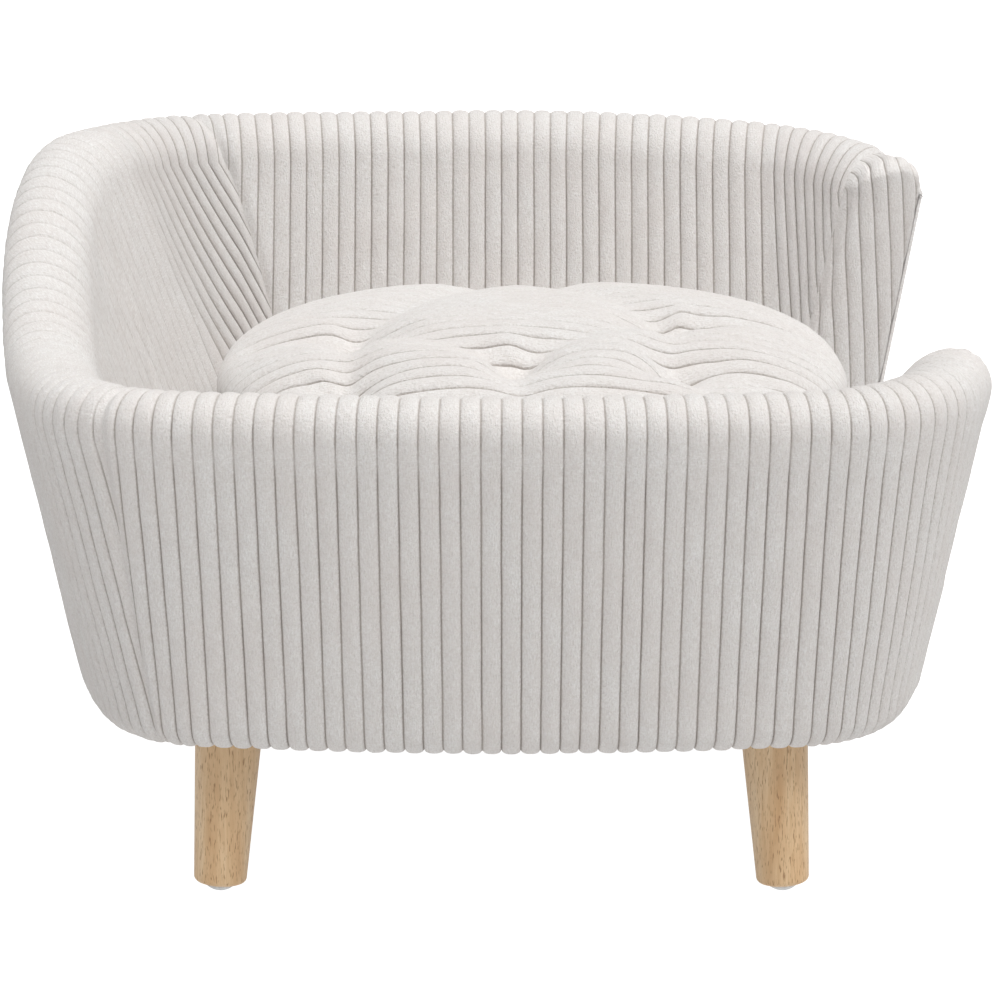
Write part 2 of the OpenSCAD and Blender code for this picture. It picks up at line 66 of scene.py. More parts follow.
def circle_crossing(p, rp, q, rq):
    d = np.linalg.norm(q - p)
    u = (q - p) / d
    k = (rp * rp - rq * rq + d * d) / (2 * d)
    return p + k * u + np.sqrt(rp * rp - k * k) * np.array([u[1], -u[0]])


half_w, half_d = BODY_W / 2, BODY_D / 2
side_r = ((half_d - CORNER_R) ** 2 + BOW_SIDE ** 2) / (2 * BOW_SIDE)
long_r = ((half_w - CORNER_R) ** 2 + BOW_LONG ** 2) / (2 * BOW_LONG)
side_c = np.array([half_w - side_r, 0.0])
long_c = np.array([0.0, half_d - long_r])
corner_c = circle_crossing(long_c, long_r - CORNER_R, side_c, side_r - CORNER_R)
side_a = np.arctan2(*(corner_c - side_c)[::-1])
long_a = np.arctan2(*(corner_c - long_c)[::-1])
side_len, corner_len = side_r * side_a, CORNER_R * (long_a - side_a)
QUARTER = side_len + corner_len + long_r * (np.pi / 2 - long_a)
ARM_HALF = side_len + SEAM_SHARE * corner_len
LEFT_FROM, FRONT_FROM = 2 * QUARTER - ARM_HALF, 2 * QUARTER + ARM_HALF
FRONT_TO, SILL_TO = 4 * QUARTER - FRONT_END, 4 * QUARTER + BACK_END


def wall_angle(s):
    """Direction of the outward normal at distance s round the plan from the right side's middle."""
    k = np.floor(s / QUARTER)
    u = s - k * QUARTER
    u = np.where(k % 2 == 0, u, QUARTER - u)
    a = np.interp(u, [0, side_len, side_len + corner_len, QUARTER], [0, side_a, long_a, np.pi / 2])
    return np.where(k % 2 == 0, k * np.pi / 2 + a, (k + 1) * np.pi / 2 - a)


def plan_point(a):
    q = np.arctan2(np.abs(np.sin(a)), np.abs(np.cos(a)))
    x = np.select([q <= side_a, q <= long_a],
                  [side_c[0] + side_r * np.cos(q), corner_c[0] + CORNER_R * np.cos(q)],
                  long_c[0] + long_r * np.cos(q))
    y = np.select([q <= side_a, q <= long_a],
                  [side_c[1] + side_r * np.sin(q), corner_c[1] + CORNER_R * np.sin(q)],
                  long_c[1] + long_r * np.sin(q))
    return np.where(np.cos(a) >= 0, x, -x), np.where(np.sin(a) >= 0, y, -y)


def flare(a):
    along = np.where(np.sin(a) > 0, FLARE_BACK, FLARE_FRONT)
    return FLARE_SIDE * np.cos(a) ** 2 + along * np.sin(a) ** 2


def ease(x):
    c = np.clip(x, 0, 1)
    return c * c * (3 - 2 * c)


def rim_z(s):
    """Height of the rim: it sags a little to the open end, and sweeps down over the left arm."""
    u = s / QUARTER
    back = BACK_H - END_DROP * np.clip((QUARTER - s) / (QUARTER - BACK_END), 0, 1.2) ** 2
    fall = BACK_H + (FRONT_H - BACK_H) * ease((u - SLOPE_START) / (SLOPE_END - SLOPE_START))
    tip = 4 * ease((s - FRONT_TO + 150) / 100) - 3 * ease((s - FRONT_TO + 26) / 26)
    droop = -END_DIP * np.clip((BACK_END + 83 - s) / 70, 0, 1) ** 2
    return np.where(u < 1, back + droop, fall) + np.where(s > 3 * QUARTER, tip, 0)


def wall_depth(s, z):
    return WALL_T + np.maximum(0, rim_z(s) - RIM_R - np.maximum(z, DECK_H)) * WALL_GROWTH


def wall_point(s, off, z):
    a = wall_angle(s)
    x, y = plan_point(a)
    g = off + (z - LEG_H) * np.tan(flare(a))
    return np.stack([x + g * np.cos(a), y + g * np.sin(a), z + 0 * g], -1)


def piecewise(v, parts):
    """Offset and height along a section of unit stretches, each a function of its own share."""
    v = np.asarray(v, float)
    k = np.clip(np.floor(v), 0, len(parts) - 1)
    found = [part(v - i) for i, part in enumerate(parts)]
    return [np.select([k == i for i in range(len(parts))], [f[j] + 0 * v for f in found])
            for j in (0, 1)]


def wall_profile(s, v):
    """0-1 lap, 1-2 bottom edge, 2-3 outer face, 3-4 rim, 4-5 inner face, 5-6 tucked down."""
    top = rim_z(s) - RIM_R

    def down(f):
        z = top + (DECK_H - top) * f
        return -wall_depth(s, z), z

    return piecewise(v, [
        lambda f: (-LAP + (LAP - BOTTOM_R) * f, LEG_H + 0 * s),
        lambda f: (-BOTTOM_R + BOTTOM_R * np.sin(f * np.pi / 2),
                   LEG_H + BOTTOM_R * (1 - np.cos(f * np.pi / 2)) + 0 * s),
        lambda f: (0 * s, LEG_H + BOTTOM_R + (top - LEG_H - BOTTOM_R) * f),
        lambda f: (-RIM_R + RIM_R * np.cos(f * np.pi) + 0 * s, top + RIM_R * np.sin(f * np.pi)),
        down,
        lambda f: (-wall_depth(s, DECK_H), DECK_H - TUCK * f + 0 * s)])


def sill_profile(s, v):
    """0-1 lap, 1-2 bottom edge, 2-3 outer face, 3-4 step's edge, 4-5 tread."""
    z1 = DECK_H - SILL_R
    return piecewise(
        v,
        [
            lambda f: (-LAP + (LAP - BOTTOM_R) * f, LEG_H + 0 * s),
            lambda f: (
                -BOTTOM_R + BOTTOM_R * np.sin(f * np.pi / 2),
                LEG_H + BOTTOM_R * (1 - np.cos(f * np.pi / 2)) + 0 * s),
            lambda f: (0 * s, LEG_H + BOTTOM_R + (z1 - LEG_H - BOTTOM_R) * f + 0 * s),
            lambda f: (
                -SILL_R + SILL_R * np.cos(f * np.pi / 2) + 0 * s,
                z1 + SILL_R * np.sin(f * np.pi / 2)),
            lambda f: (-SILL_R - (wall_depth(s, DECK_H) + 14 - SILL_R) * f, DECK_H + 0 * s)])


# ---- corduroy cut flat and laid on the wall ----
def cumulative(y, x):
    return np.concatenate([[0], np.cumsum((y[1:] + y[:-1]) / 2 * np.diff(x))])


def lay_flat(s, middle, profile, eased=lambda s, v: 0):
    """Gives the function that tells how far across the flat cloth each s in a row at v lies.

    The flared wall unrolls to a fan, so straight parallel wales lean against the fan's rays
    away from the panel's middle, and run out at the seams. eased is how far the cloth was
    stretched to follow the rays instead.
    """
    a = wall_angle(s)
    beta = flare(a)
    turn = cumulative(np.sin(beta), a)
    turn -= np.interp(middle, s, turn)
    base = cumulative(np.cos(turn), s)
    base -= np.interp(middle, s, base)

    def outer(v):
        z = profile(s, v)[1]
        return base + (z - LEG_H) / np.cos(beta) * np.sin(turn)

    at_rim = outer(3.0)
    lean = beta + np.arctan(WALL_GROWTH)
    turn_in = cumulative(np.sin(lean), a)
    turn_in -= np.interp(middle, s, turn_in)
    top = rim_z(s) - RIM_R
    stretch = 1 + (top * 0 + 200 * np.tan(beta) - WALL_T) * np.gradient(a, s)
    base_in = cumulative(np.cos(turn_in) * stretch, s)
    base_in -= np.interp(middle, s, base_in)

    def across(v):
        pull = eased(s, v)
        if v <= 3:
            return (1 - pull) * outer(v) + pull * at_rim
        if v <= 4:
            return at_rim
        z = profile(s, v)[1]
        inner = base_in - (top - z) / np.cos(lean) * np.sin(turn_in)
        laid = np.interp(np.interp(inner, base_in, s), s, at_rim)
        return (1 - pull) * laid + pull * at_rim

    return across


WALE_SAMPLES = np.array([0, 0.045, 0.10, 0.19, 0.34, 0.5, 0.66, 0.81, 0.90, 0.955])


def wale_height(phase):
    """Flat-topped round bar: 0 on the crest, -1 in the groove."""
    t = np.abs(2 * (phase % 1.0) - 1)
    return (1 - np.clip(t, 0, 1) ** 2.7) ** 0.5 - 1


def smooth_noise(u, v, seed, octaves=3):
    """Gentle wandering value about 0, from a few fixed waves."""
    r = np.random.default_rng(seed)
    total = 0 * u
    for o in range(octaves):
        for _ in range(3):
            k, ph = r.normal(size=2) * 1.9 ** o, r.uniform(0, 6.28)
            total = total + np.sin(k[0] * u + k[1] * v + ph) / 1.6 ** o
    return total / 4


def new_piece(name, points, faces, material, body, nodes, pile=None):
    mesh = bpy.data.meshes.new(name)
    mesh.from_pydata(((points / 1000) + CENTRE).tolist(), [], faces)
    mesh.polygons.foreach_set("use_smooth", [True] * len(mesh.polygons))
    if pile is not None:
        layer = mesh.attributes.new("pile", "FLOAT_VECTOR", "POINT")
        layer.data.foreach_set("vector", np.asarray(pile, np.float32).ravel())
    mesh.materials.append(material)
    mesh.validate()
    obj = bpy.data.objects.new(name, mesh)
    scene.collection.objects.link(obj)
    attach(obj, body)
    if nodes:
        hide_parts(*nodes)
    return obj


def grid_faces(ids, flip=False):
    """Quads of a grid of vertex numbers; where numbers repeat, triangles, or nothing."""
    a, b, c, d = ids[:-1, :-1], ids[:-1, 1:], ids[1:, 1:], ids[1:, :-1]
    quads = np.stack([a, b, c, d] if not flip else [d, c, b, a], -1).reshape(-1, 4)
    same = (quads == np.roll(quads, -1, 1)).sum(1)
    faces = quads[same == 0].tolist()
    for q in quads[same == 1].tolist():
        faces.append([v for i, v in enumerate(q) if v != q[(i + 1) % 4]])
    return faces


def used_only(points, faces, *more):
    used = np.unique(np.concatenate([np.ravel(f) for f in faces]))
    number = np.full(len(points), -1)
    number[used] = np.arange(len(used))
    return [points[used], [[int(number[v]) for v in f] for f in faces]] + [m[used] for m in more]


def lay_wales(dense, tables, lo, hi):
    """Places columns along the wales. Each table says, for one row, how far across the cloth each
    dense value lies; lo and hi are the seams. Returns the values, the column that each point
    belongs to (points past a seam share one) and the phase across the wales."""
    first = min(np.interp(l, dense, t) for l, t in zip(lo, tables))
    last = max(np.interp(h, dense, t) for h, t in zip(hi, tables))
    n0, n1 = int(np.floor(first / PITCH)) - 1, int(np.ceil(last / PITCH)) + 1
    phase = (np.arange(n0, n1)[:, None] + WALE_SAMPLES[None]).ravel()
    S = np.stack([np.interp(phase * PITCH, t, dense) for t in tables])
    lo, hi = lo[:, None], hi[:, None]
    cols = np.arange(len(phase))[None] + np.zeros(S.shape, int)
    cols = np.where(S <= lo, (S <= lo).sum(1, keepdims=True) - 1, cols)
    cols = np.where(S >= hi, (S < hi).sum(1, keepdims=True), cols)
    cols = np.clip(cols, 0, len(phase) - 1)
    S = np.clip(S, lo, hi)
    real = np.stack([np.interp(S[i], dense, t) / PITCH for i, t in enumerate(tables)])
    return S, cols, real


def unit_cross(a, b):
    n = np.cross(a, b)
    return n / (np.linalg.norm(n, axis=-1, keepdims=True) + 1e-12)


def pile_depth(real, along, C, seed):
    """Height of the cut pile over the crest line, and the wales' small wandering."""
    wander = 0.028 * smooth_noise(real * 0.9, along / 35, seed)
    lift = smooth_noise(
        real * 2.1, along / 14, seed + 1) + 0.7 * smooth_noise(real * 5, along / 5, seed + 2)
    depth = WALE_H * (1 - 0.55 * np.clip(C, 0, 1))
    return depth * wale_height(real + wander) + 0.16 * lift - 0.3, wander


def wall_cloth(name, profile, rows, span, lo, hi, seed, nodes, crush_and_sheen,
               eased=lambda s, v: 0, dips=None):
    """A stretch of corduroy over the padded wall, its wales modelled one by one."""
    s = np.linspace(span[0] - 70, span[1] + 70, 1400)
    across = lay_flat(s, span[2], profile, eased)
    tables = [across(v) for v in rows]
    lo_s, hi_s = (np.array([edge(v) for v in rows], float) for edge in (lo, hi))
    S, cols, real = lay_wales(s, tables, lo_s, hi_s)
    V = rows[:, None] + 0 * S

    def at(ss, vv):
        off, z = profile(ss, vv)
        return wall_point(ss, off, z)

    P = at(S, V)
    step = 0.004
    up = at(S, np.minimum(V + step, rows[-1] - 1e-6)) - at(S, np.maximum(V - step, rows[0]))
    N = unit_cross(at(S + 0.5, V) - at(S - 0.5, V), up)
    along = np.cumsum(np.concatenate([[0 * S[0]], np.linalg.norm(np.diff(P, axis=0), axis=-1)]), 0)
    C = crush_and_sheen(S, V, P)
    d, wander = pile_depth(real, along, C, seed)
    d += 0.5 * smooth_noise(S / 28, along / 30, seed + 3)
    if dips is not None:
        d += dips(S, V, P)
    sewn = ease(np.minimum(S - lo_s[:, None], hi_s[:, None] - S) / 4)
    d = d * sewn - SEAM_DEPTH * (1 - sewn)
    P = P + N * d[..., None]
    ids = np.arange(len(rows))[:, None] * S.shape[1] + cols
    pile = np.stack([real + wander, along, C], -1).reshape(-1, 3)
    points, faces, pile = used_only(P.reshape(-1, 3), grid_faces(ids), pile)
    obj = new_piece(name, points, faces, corduroy, "bed", nodes, pile)
    return s, across


# ---- materials ----
MATH = "ShaderNodeMath"
MIX = "ShaderNodeMix"
NOISE = "ShaderNodeTexNoise"
MAPPING = "ShaderNodeMapping"
RAMP = "ShaderNodeValToRGB"
BUMP = "ShaderNodeBump"
PRINCIPLED = "ShaderNodeBsdfPrincipled"
WAVE = "ShaderNodeTexWave"
VORONOI = "ShaderNodeTexVoronoi"
COORDS = "ShaderNodeTexCoord"
SURFACE_OUT = "ShaderNodeOutputMaterial"


def linear(code):
    c = np.array([int(code[i:i + 2], 16) for i in (1, 3, 5)]) / 255
    return tuple(np.where(c <= 0.04045, c / 12.92, ((c + 0.055) / 1.055) ** 2.4).tolist()) + (1.0,)


def add(tree, kind, links=None, stops=(), **settings):
    """Adds a node with its settings. Each link's value is a node or socket to join to that
    input, or a plain value for it. stops are a colour ramp's places and colours or greys."""
    n = tree.nodes.new(kind)
    for key, value in settings.items():
        setattr(n, key, value)
    for key, value in (links or {}).items():
        if isinstance(value, bpy.types.Node):
            value = next(o for o in value.outputs if o.enabled)
        if isinstance(value, bpy.types.NodeSocket):
            tree.links.new(value, n.inputs[key])
        else:
            n.inputs[key].default_value = value
    for _ in stops[2:]:
        n.color_ramp.elements.new(0.5)
    for element, (at, colour) in zip(n.color_ramp.elements if stops else (), stops):
        element.position = at
        element.color = linear(colour) if isinstance(colour, str) else (colour, colour, colour, 1)
    return n


def new_material(name):
    m = bpy.data.materials.new(name)
    m.use_nodes = True
    m.node_tree.nodes.clear()
    return m, m.node_tree


def make_corduroy():
    """Wide-wale plush corduroy, woven with cut pile: matt, sheen along the rounded bars,
    fine fibres that lie along them, grooves painted darker (partly the greyer ground weave,
    partly painted shade) and pressed pile painted lighter as a painted sheen."""
    m, t = new_material("plush_corduroy_cut_pile")
    pile = add(t, "ShaderNodeAttribute", attribute_name="pile").outputs["Vector"]
    parts = add(t, "ShaderNodeSeparateXYZ", {"Vector": pile}).outputs
    # across in millimetres of cloth, along in millimetres
    over_mm = add(t, MATH, {0: parts["X"], 1: PITCH}, operation="MULTIPLY")
    cloth = add(t, "ShaderNodeCombineXYZ", {"X": over_mm, "Y": parts["Y"]})
    # size across and along the wales in millimetres, detail and roughness of each
    grains = []
    for over, along, detail, rough in (
            (0.8, 4.5, 4.0, 0.65), (1.1, 1.5, 3.0, 0.65), (9.0, 24.0, 3.0, 0.6),
            (60.0, 90.0, 2.0, 0.5), (1.2, 1.6, 1.0, 0.5), (3.0, 0.9, 2.0, 0.5)):
        spread = add(t, MAPPING, {"Vector": cloth, "Scale": (1 / over, 1 / along, 1)})
        grains.append(add(t, NOISE, {"Vector": spread, "Scale": 1.0, "Detail": detail,
                                     "Roughness": rough}))
    fibre, fuzz, mottle, patch, tooth, streak = grains
    share = add(t, MATH, {0: parts["X"]}, operation="FRACT")
    twice = add(t, MATH, {0: share, 1: 2.0}, operation="MULTIPLY")
    centred = add(t, MATH, {0: twice, 1: 1.0}, operation="SUBTRACT")
    edge = add(t, MATH, {0: centred}, operation="ABSOLUTE")
    toothed = add(t, MATH, {0: tooth, 1: 0.5}, operation="SUBTRACT")
    toothed = add(t, MATH, {0: toothed, 1: 0.10}, operation="MULTIPLY")
    ragged = add(t, MATH, {0: edge, 1: toothed}, operation="ADD")
    # groove mask: where the grooves are painted darker, partly the ground weave and partly painted
    # shade
    groove_weave_and_shade = add(t, RAMP, {0: ragged}, stops=[(0.86, 0.0), (0.965, 1.0)])
    crest = add(
        t, RAMP, {0: fibre}, stops=[(0.30, "#DFDBD8"), (0.52, "#EDEBE9"), (0.72, "#F7F6F5")])
    # mottling, fuzz and broad patches darken the crests a little
    for mask, stops, shade in (
            (mottle, [(0.35, 0.30), (0.68, 0.0)], "#D9D1CC"),
            (fuzz, [(0.38, 0.40), (0.56, 0.0)], "#CFC8C2"),
            (patch, [(0.4, 0.22), (0.62, 0.0)], "#E2D9D4")):
        amount = add(t, RAMP, {0: mask}, stops=stops)
        crest = add(t, MIX, {0: amount, 6: crest, 7: linear(shade)}, data_type="RGBA")
    # pressed pile painted lighter in streaks toward #FBFAF8: the pile is really pressed, the
    # lightness is a painted sheen
    crushed_sheen = add(
        t, MATH, {0: parts["Z"], 1: add(t, RAMP, {0: streak}, stops=[(0.50, 0.0), (0.66, 0.6)])},
        operation="MULTIPLY")
    crest = add(t, MIX, {0: crushed_sheen, 6: crest, 7: linear("#FBFAF8")}, data_type="RGBA")
    open_groove = add(
        t, MATH, {0: 1.0, 1: add(t, MATH, {0: parts["Z"], 1: 0.8}, operation="MULTIPLY")},
        operation="SUBTRACT")
    groove_weave_and_shade = add(t, MATH, {0: groove_weave_and_shade, 1: open_groove}, operation="MULTIPLY")
    # grooves mixed to a greyer colour: partly the ground weave, partly painted shade down in the
    # grooves
    colour = add(t, MIX, {0: groove_weave_and_shade, 6: crest, 7: linear("#B4ACA6")}, data_type="RGBA")
    relief = add(
        t, MATH,
        {0: add(t, MATH, {0: fibre, 1: 0.6}, operation="MULTIPLY"),
         1: add(t, MATH, {0: fuzz, 1: 0.8}, operation="MULTIPLY")},
        operation="ADD")
    bump = add(t, BUMP, {"Height": relief, "Strength": 1.0, "Distance": 0.0014})
    b = add(
        t, PRINCIPLED,
        {"Base Color": colour, "Normal": bump.outputs["Normal"], "Roughness": 0.92, "IOR": 1.47,
         "Specular IOR Level": 0.15, "Sheen Weight": 0.35, "Sheen Roughness": 0.45,
         "Sheen Tint": linear("#FFFDFB")})
    add(t, SURFACE_OUT, {"Surface": b})
    return m


def make_plain_weave():
    """Cotton lining, plain woven at about 0.6 mm a thread, drawn at 1.4 mm so that it shows."""
    m, t = new_material("cotton_lining_plain_weave")
    at = add(t, COORDS).outputs["Object"]
    warp = add(t, WAVE, {"Vector": at, "Scale": 110.0}, bands_direction="X").outputs["Fac"]
    weft = add(t, WAVE, {"Vector": at, "Scale": 110.0}, bands_direction="Y").outputs["Fac"]
    cross = add(t, MATH, {0: warp, 1: weft}, operation="MULTIPLY")
    slub = add(t, NOISE, {"Vector": at, "Scale": 160.0, "Detail": 3.0, "Roughness": 0.55})
    colour = add(t, MIX, {0: cross, 6: linear("#CFC8C0"), 7: linear("#EAE5DE")}, data_type="RGBA")
    colour = add(
        t, MIX,
        {0: add(t, RAMP, {0: slub}, stops=[(0.45, 0.0), (0.7, 0.3)]), 6: colour,
         7: linear("#BDB4AA")},
        data_type="RGBA")
    bump = add(t, BUMP, {"Height": cross, "Strength": 0.5, "Distance": 0.0004})
    b = add(
        t, PRINCIPLED, {"Base Color": colour, "Normal": bump.outputs["Normal"], "Roughness": 0.88})
    add(t, SURFACE_OUT, {"Surface": b})
    return m


def make_beech():
    """Turned beech, clear oiled: pale honey colour, grain up the leg, short darker pore flecks."""
    m, t = new_material("beech_turned_oiled")
    at = add(t, COORDS).outputs["Object"]
    broad = add(
        t, NOISE,
        {"Vector": add(t, MAPPING, {"Vector": at, "Scale": (90, 90, 9)}), "Scale": 1.0,
         "Detail": 4.0, "Roughness": 0.6})
    fine = add(
        t, NOISE,
        {"Vector": add(t, MAPPING, {"Vector": at, "Scale": (900, 900, 60)}), "Scale": 1.0,
         "Detail": 3.0, "Roughness": 0.6})
    fleck = add(
        t, NOISE,
        {"Vector": add(t, MAPPING, {"Vector": at, "Scale": (1500, 1500, 190)}), "Scale": 1.0,
         "Detail": 1.0, "Roughness": 0.5})
    colour = add(
        t, RAMP, {0: broad}, stops=[(0.28, "#D0A87B"), (0.5, "#E1C096"), (0.72, "#EDD3AF")])
    colour = add(
        t, MIX,
        {0: add(t, RAMP, {0: fine}, stops=[(0.35, 0.35), (0.62, 0.0)]), 6: colour,
         7: linear("#C39A6C")},
        data_type="RGBA")
    colour = add(
        t, MIX,
        {0: add(t, RAMP, {0: fleck}, stops=[(0.60, 0.0), (0.68, 0.7)]), 6: colour,
         7: linear("#94683F")},
        data_type="RGBA")
    bump = add(
        t, BUMP,
        {"Height": add(t, MATH, {0: fine, 1: fleck}, operation="ADD"), "Strength": 0.25,
         "Distance": 0.0003})
    b = add(
        t, PRINCIPLED,
        {"Base Color": colour, "Normal": bump.outputs["Normal"], "Roughness": 0.46, "IOR": 1.5})
    add(t, SURFACE_OUT, {"Surface": b})
    return m


def make_sawn_wood(name, dark, light, grain):
    """Sawn or peeled wood left bare: matt, with straight grain."""
    m, t = new_material(name)
    at = add(t, COORDS).outputs["Object"]
    broad = add(
        t, NOISE,
        {"Vector": add(t, MAPPING, {"Vector": at, "Scale": grain}), "Scale": 1.0, "Detail": 5.0,
         "Roughness": 0.62})
    fine = add(
        t, NOISE,
        {"Vector": add(t, MAPPING, {"Vector": at, "Scale": tuple(6 * g for g in grain)}),
         "Scale": 1.0, "Detail": 3.0, "Roughness": 0.55})
    colour = add(t, RAMP, {0: broad}, stops=[(0.3, dark), (0.7, light)])
    colour = add(
        t, MIX,
        {0: add(t, RAMP, {0: fine}, stops=[(0.4, 0.3), (0.6, 0.0)]), 6: colour, 7: linear(dark)},
        data_type="RGBA")
    bump = add(t, BUMP, {"Height": fine, "Strength": 0.3, "Distance": 0.0003})
    b = add(
        t, PRINCIPLED, {"Base Color": colour, "Normal": bump.outputs["Normal"], "Roughness": 0.7})
    add(t, SURFACE_OUT, {"Surface": b})
    return m


def make_foam(name, dark, light):
    """Open-cell stuffing: matt, with small dark cells."""
    m, t = new_material(name)
    at = add(t, COORDS).outputs["Object"]
    cells = add(t, VORONOI, {"Vector": at, "Scale": 700.0}).outputs["Distance"]
    colour = add(t, RAMP, {0: cells}, stops=[(0.15, dark), (0.5, light)])
    bump = add(t, BUMP, {"Height": cells, "Strength": 0.4, "Distance": 0.0005})
    b = add(
        t, PRINCIPLED, {"Base Color": colour, "Normal": bump.outputs["Normal"], "Roughness": 0.95})
    add(t, SURFACE_OUT, {"Surface": b})
    return m


def make_nonwoven():
    """Spunbonded dust cloth: thin, grey-black, point-bonded every 1.5 mm."""
    m, t = new_material("spunbond_dust_cloth")
    at = add(t, COORDS).outputs["Object"]
    dots = add(t, VORONOI, {"Vector": at, "Scale": 650.0, "Randomness": 0.15}).outputs["Distance"]
    strands = add(t, NOISE, {"Vector": at, "Scale": 900.0, "Detail": 4.0, "Roughness": 0.7})
    colour = add(t, RAMP, {0: dots}, stops=[(0.2, "#191A1B"), (0.5, "#2E2F31")])
    colour = add(
        t, MIX,
        {0: add(t, RAMP, {0: strands}, stops=[(0.5, 0.0), (0.75, 0.5)]), 6: colour,
         7: linear("#4A4B4E")},
        data_type="RGBA")
    bump = add(t, BUMP, {"Height": dots, "Strength": 0.5, "Distance": 0.0003})
    b = add(
        t, PRINCIPLED, {"Base Color": colour, "Normal": bump.outputs["Normal"], "Roughness": 0.8})
    add(t, SURFACE_OUT, {"Surface": b})
    return m


def make_steel():
    """Zinc-plated pressed steel: satin, faintly clouded."""
    m, t = new_material("zinc_plated_steel")
    at = add(t, COORDS).outputs["Object"]
    cloud = add(t, NOISE, {"Vector": at, "Scale": 220.0, "Detail": 4.0, "Roughness": 0.6})
    colour = add(t, RAMP, {0: cloud}, stops=[(0.35, "#A9ABAD"), (0.65, "#C9CBCC")])
    rough = add(t, RAMP, {0: cloud}, stops=[(0.3, 0.28), (0.7, 0.45)])
    b = add(t, PRINCIPLED, {"Base Color": colour, "Roughness": rough, "Metallic": 1.0})
    add(t, SURFACE_OUT, {"Surface": b})
    return m


def make_glide_plastic():
    """Moulded polyethylene glide: pale grey, waxy, scuffed where it meets the floor."""
    m, t = new_material("moulded_polyethylene_glide")
    at = add(t, COORDS).outputs["Object"]
    scuff = add(t, NOISE, {"Vector": at, "Scale": 500.0, "Detail": 4.0, "Roughness": 0.7})
    colour = add(t, RAMP, {0: scuff}, stops=[(0.4, "#D4D5D6"), (0.7, "#E6E6E5")])
    bump = add(t, BUMP, {"Height": scuff, "Strength": 0.15, "Distance": 0.0002})
    b = add(
        t, PRINCIPLED,
        {"Base Color": colour, "Normal": bump.outputs["Normal"], "Roughness": 0.4, "IOR": 1.5,
         "Subsurface Weight": 0.1, "Subsurface Radius": (0.002, 0.002, 0.002)})
    add(t, SURFACE_OUT, {"Surface": b})
    return m


def make_twine():
    """Waxed polyester twine, twisted: off-white with fine lay lines."""
    m, t = new_material("waxed_polyester_twine")
    at = add(t, COORDS).outputs["Object"]
    lay = add(
        t, WAVE, {"Vector": at, "Scale": 160.0, "Distortion": 1.0},
        bands_direction="Z").outputs["Fac"]
    colour = add(t, RAMP, {0: lay}, stops=[(0.2, "#C9C2B8"), (0.7, "#EFEAE2")])
    bump = add(t, BUMP, {"Height": lay, "Strength": 0.5, "Distance": 0.0003})
    b = add(
        t, PRINCIPLED, {"Base Color": colour, "Normal": bump.outputs["Normal"], "Roughness": 0.6})
    add(t, SURFACE_OUT, {"Surface": b})
    return m


corduroy = make_corduroy()
lining = make_plain_weave()
twine = make_twine()
plywood = make_sawn_wood("poplar_plywood_peeled", "#C9A87A", "#E3CBA2", (14, 120, 400))
pine = make_sawn_wood("pine_sawn", "#D2AE78", "#EBD3A6", (120, 120, 12))
foam = make_foam("polyurethane_foam_cut", "#D6CDA8", "#EFE8CC")
fill_fibre = make_foam("polyester_fibre_fill", "#DADADA", "#F4F4F2")
nonwoven = make_nonwoven()
steel = make_steel()
glide_plastic = make_glide_plastic()
beech = make_beech()

BY_SLOT = {"corduroy": corduroy, "foam": foam, "fibre_fill": fill_fibre, "lining": lining,
           "nonwoven": nonwoven, "twine": twine, "plywood": plywood, "pine": pine, "beech": beech,
           "glide_plastic": glide_plastic, "zinc_steel": steel}
for row in frame["record"]["subparts"]:
    data = frame["nodes"][row["node"]].data
    data.materials.clear()
    data.materials.append(BY_SLOT[row["material_slot"]])

# ---- covers ----
WALL_ROWS = np.concatenate([
    np.linspace(0, 1, 4, endpoint=False), 1 + np.linspace(0, 1, 7, endpoint=False),
    2 + np.linspace(0, 1, 26, endpoint=False), 3 + np.linspace(0, 1, 18, endpoint=False),
    4 + np.linspace(0, 1, 24, endpoint=False), 5 + np.linspace(0, 1, 4)])
SILL_ROWS = np.concatenate([
    np.linspace(0, 1, 4, endpoint=False), 1 + np.linspace(0, 1, 7, endpoint=False),
    2 + np.linspace(0, 1, 12, endpoint=False), 3 + np.linspace(0, 1, 8, endpoint=False),
    4 + np.linspace(0, 1, 12)])


def inner_share(v):
    return np.clip(v - 4, 0, 1)


def rear_seam(v):
    """The seam at the rear left corner runs down the inside towards the back wall's middle."""
    return LEFT_FROM - 20 * np.clip(v - 3, 0, 1) - 45 * inner_share(v) ** 0.85


def front_seam(v):
    return FRONT_FROM + 40 * inner_share(v)


def crushed_rim_and_sheen(S, V, P):
    """Pile pressed down at the outer shoulder of the rim, and painted lighter there as a painted
    sheen.
    """
    return 0.55 * np.exp(-((V - 2.97) / 0.05) ** 2) + 0.25 * np.exp(-((V - 3.4) / 0.3) ** 2)


def crushed_arm_and_sheen(S, V, P):
    """The arm's rim and inner face are rubbed smooth, more so away from the rear corner, and
    painted lighter there as a painted sheen.
    """
    inside = ease((V - 2.9) / 0.6)
    return crushed_rim_and_sheen(S, V, P) * (1 - inside) + 0.95 * inside * ease((S - rear_seam(V) - 30) / 60)


def trodden_edge_and_sheen(S, V, P):
    """Pile pressed down on the step's edge, and painted lighter there as a painted sheen."""
    return 0.5 * np.exp(-((V - 3.5) / 0.4) ** 2)


def long_eased(s, v):
    return 0.0 if v > 4 else 0.35


def arm_eased(s, v):
    return 0.2 if v > 4 else 0.62


def arm_dips(S, V, P):
    """The cloth of the left arm is drawn into a soft crease on the inside."""
    line = 2 * QUARTER - 76 + 18 * inner_share(V)
    fade = np.clip((V - 4.1) / 0.12, 0, 1) * np.clip((4.8 - V) / 0.3, 0, 1)
    crease = -3.2 * fade * np.exp(-((S - line) / 4.5) ** 2)
    return crease + 1.2 * fade * np.exp(-((S - line - 13) / 8) ** 2)


